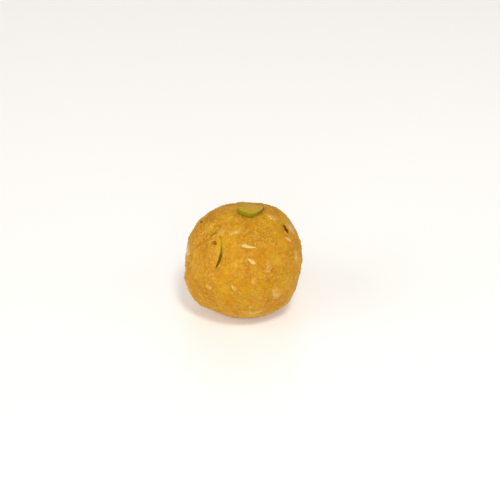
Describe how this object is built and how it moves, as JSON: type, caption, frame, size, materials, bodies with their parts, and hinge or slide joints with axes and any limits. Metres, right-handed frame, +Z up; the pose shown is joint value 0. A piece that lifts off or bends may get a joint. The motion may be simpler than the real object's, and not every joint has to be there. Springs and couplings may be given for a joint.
{
  "type": "ladoo",
  "caption": "Hand-rolled ball of golden pressed sweet crumbs, with melon seeds and slices of nut in its skin, resting on a small flat spot.",
  "frame": {"origin": "centre of the bounding box's bottom, in the middle of the flat spot that the ball rests on", "axes": "+Z up; -Y is the side with the long pistachio slice, and +X is to the right of a viewer who looks along +Y"},
  "size_m": [0.0448, 0.0448, 0.0427],
  "materials": {
    "ladoo": "moist golden crumbs with a sheen of ghee",
    "melon_seed": "pale seed, sunk in and filmed with ghee",
    "pistachio": "yellow-green kernel with a green rim",
    "almond": "cream kernel with a red-brown skin edge",
    "nut_skin": "dark red-brown bits of nut skin"
  },
  "bodies": {
    "root": {"ladoo": "ladoo"}
  },
  "joints": []
}
